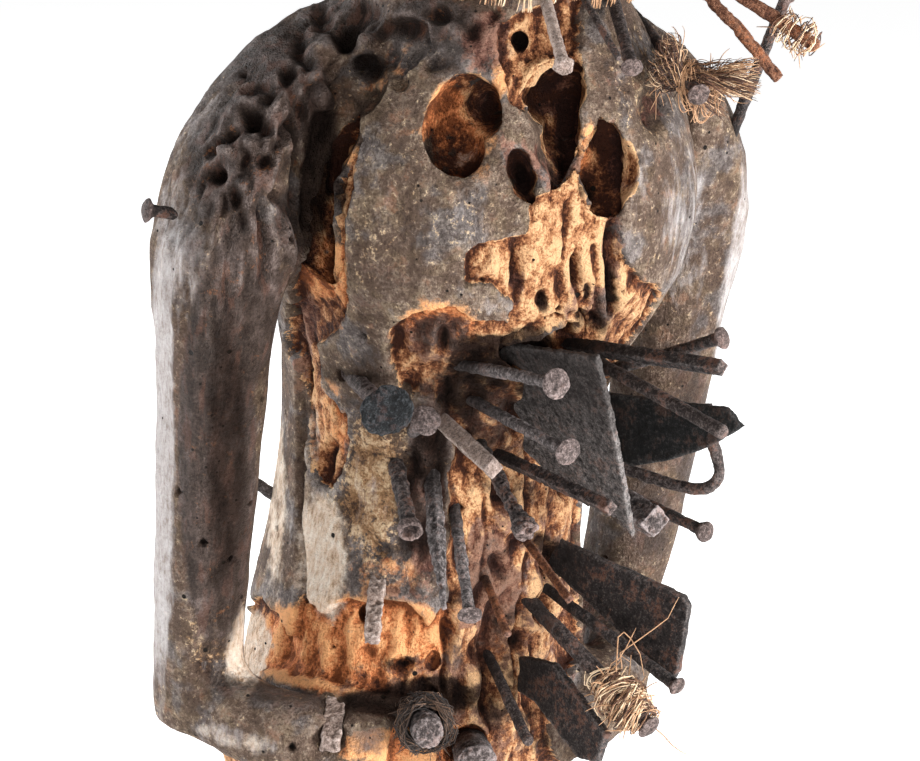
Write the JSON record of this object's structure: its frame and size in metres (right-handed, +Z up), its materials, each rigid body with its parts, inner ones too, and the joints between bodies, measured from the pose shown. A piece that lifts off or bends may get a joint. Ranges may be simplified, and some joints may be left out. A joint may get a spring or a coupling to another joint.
{
  "type": "power figure (nkisi nkondi) statue",
  "caption": "Standing carved wooden power figure on a low base, with square shoulders, hands at the belly, and iron nails, blades and fibre bindings driven into the chest and belly.",
  "frame": {"origin": "centre of the base's flat underside", "axes": "+Z up along the figure, -Y where it faces, -X towards its right hand"},
  "size_m": [0.247, 0.221, 0.765],
  "materials": {
    "carved_wood": "weathered, matt, with grey crust and bare orange wood",
    "peg_wood": "weathered, matt",
    "rusted_iron": "rusted, rough",
    "fibre": "dry twisted plant fibre"
  },
  "bodies": {
    "root": {"bar_belly_long": "rusted_iron", "bar_left_high": "rusted_iron", "binding_hip_bolt": "fibre", "binding_hip_rod": "fibre", "binding_neck_rod": "fibre", "blade_belly": "rusted_iron", "blade_hip": "rusted_iron", "blade_hip_low": "rusted_iron", "blade_left_pointed": "rusted_iron", "bolt_hip_front": "rusted_iron", "bolt_hip_right": "rusted_iron", "bolt_left_square": "rusted_iron", "carved_figure": "carved_wood", "fibre_collar": "fibre", "fibre_tassel": "fibre", "nail_back_right": "rusted_iron", "nail_belly_crusted": "rusted_iron", "nail_belly_disc": "rusted_iron", "nail_belly_high": "rusted_iron", "nail_belly_middle": "rusted_iron", "nail_belly_stub": "rusted_iron", "nail_chest_top_left": "rusted_iron", "nail_chest_top_right": "rusted_iron", "nail_hip_behind": "rusted_iron", "nail_hip_low": "rusted_iron", "nail_left_cone": "rusted_iron", "nail_left_high": "rusted_iron", "nail_left_hooked": "rusted_iron", "nail_left_long": "rusted_iron", "nail_left_shoulder": "rusted_iron", "nail_left_tassel": "rusted_iron", "nail_shoulder_right": "rusted_iron", "nail_waist_long": "rusted_iron", "nail_waist_low": "rusted_iron", "nail_waist_ringed": "rusted_iron", "nail_waist_thin": "rusted_iron", "needle_chest_top": "rusted_iron", "peg_belly_pale": "peg_wood", "peg_hip_right": "peg_wood", "peg_waist_right": "peg_wood", "rod_hip_wrapped": "rusted_iron", "rod_neck_left": "rusted_iron", "rod_neck_wrapped": "rusted_iron", "shard_waist": "rusted_iron"}
  },
  "joints": []
}
